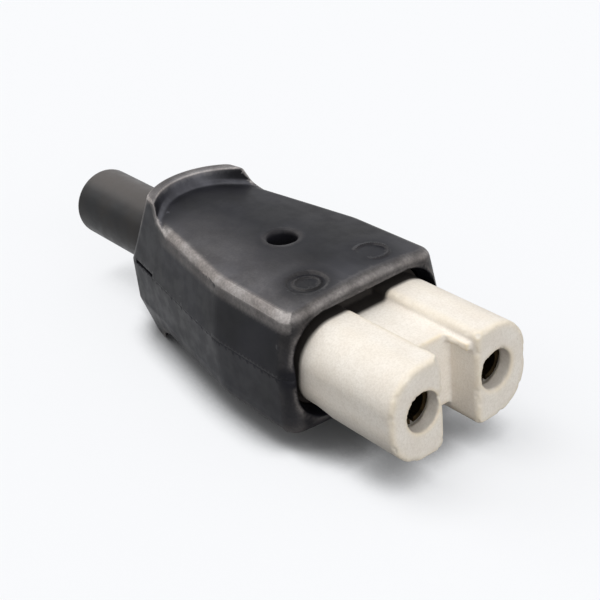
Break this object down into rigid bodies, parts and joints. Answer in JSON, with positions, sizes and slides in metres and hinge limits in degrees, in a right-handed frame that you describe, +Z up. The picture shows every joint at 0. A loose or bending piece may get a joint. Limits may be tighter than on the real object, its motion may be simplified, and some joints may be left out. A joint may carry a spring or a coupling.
{
  "type": "appliance power connector",
  "caption": "Two-pin power connector for an iron: black moulded clamshell housing, cream ceramic nose with two round bores, split brass contacts, cord clamp and rubber cord sleeve.",
  "frame": {"origin": "Centre of the connector's length and width, on the surface it rests on.", "axes": "+X towards the ceramic nose, along the pins of the mating inlet; +Y to the left when looking along +X; +Z up, square to the seam between the two housing halves."},
  "size_m": [0.122, 0.042, 0.035],
  "materials": {
    "black_phenolic": "satin moulded phenolic, edges worn grey-brown",
    "cream_ceramic": "unglazed, fine pores",
    "brass": "tarnished",
    "spring_steel": "blued",
    "plated_steel": "dull zinc plate",
    "black_rubber": "satin, smooth"
  },
  "bodies": {
    "root": {"upper_housing": "black_phenolic", "lower_housing": "black_phenolic", "ceramic_insert": "cream_ceramic", "contact_socket_left": "brass", "contact_socket_right": "brass", "contact_spring_left_front": "spring_steel", "contact_spring_left_rear": "spring_steel", "contact_spring_right_front": "spring_steel", "contact_spring_right_rear": "spring_steel", "terminal_washer_left": "brass", "terminal_washer_right": "brass", "terminal_screw_left": "plated_steel", "terminal_screw_right": "plated_steel", "cord_clamp": "plated_steel", "cord_clamp_screw_left": "plated_steel", "cord_clamp_screw_right": "plated_steel", "cord_sleeve": "black_rubber", "housing_screw": "plated_steel", "housing_washer": "plated_steel", "housing_nut": "plated_steel"}
  },
  "joints": []
}
